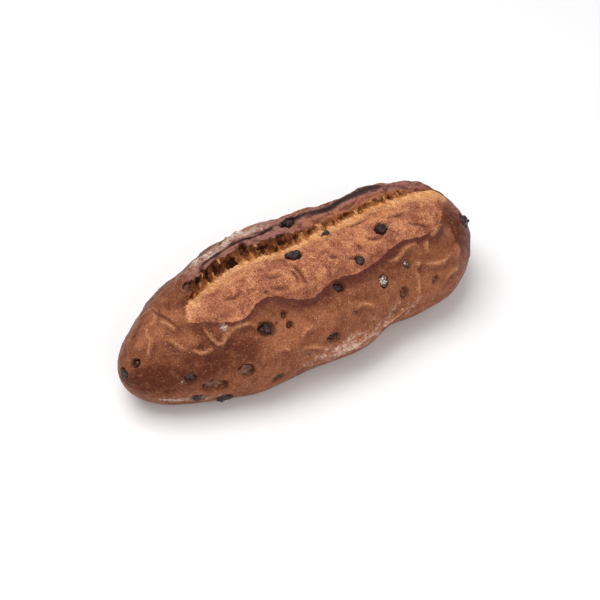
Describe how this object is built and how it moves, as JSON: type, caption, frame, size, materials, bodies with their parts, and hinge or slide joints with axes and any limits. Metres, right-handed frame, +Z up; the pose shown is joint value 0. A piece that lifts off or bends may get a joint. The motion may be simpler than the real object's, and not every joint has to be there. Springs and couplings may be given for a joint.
{
  "type": "olive batard bread loaf",
  "caption": "Hand-shaped torpedo loaf with one long slash, a raised crust ear along it and chopped olives baked into the crust.",
  "frame": {"origin": "on the surface the loaf rests on, under the middle of its bounding box", "axes": "+X along the loaf towards its blunter end, +Z up, and the slash opens towards -Y"},
  "size_m": [0.27, 0.1132, 0.0779],
  "materials": {
    "crust": "dry baked crust with a faint satin sheen",
    "olive": "shrivelled black olive with a slight oily sheen"
  },
  "bodies": {
    "root": {"loaf": "crust", "olive_01": "olive", "olive_02": "olive", "olive_03": "olive", "olive_04": "olive", "olive_05": "olive", "olive_06": "olive", "olive_07": "olive", "olive_08": "olive", "olive_09": "olive", "olive_10": "olive", "olive_11": "olive", "olive_12": "olive", "olive_13": "olive", "olive_14": "olive", "olive_15": "olive", "olive_16": "olive", "olive_17": "olive", "olive_18": "olive", "olive_19": "olive", "olive_20": "olive", "olive_21": "olive", "olive_22": "olive", "olive_23": "olive", "olive_24": "olive", "olive_25": "olive", "olive_26": "olive", "olive_27": "olive", "olive_28": "olive", "olive_29": "olive", "olive_30": "olive", "olive_31": "olive", "olive_32": "olive", "olive_33": "olive", "olive_34": "olive", "olive_35": "olive", "olive_36": "olive", "olive_37": "olive", "olive_38": "olive"}
  },
  "joints": []
}
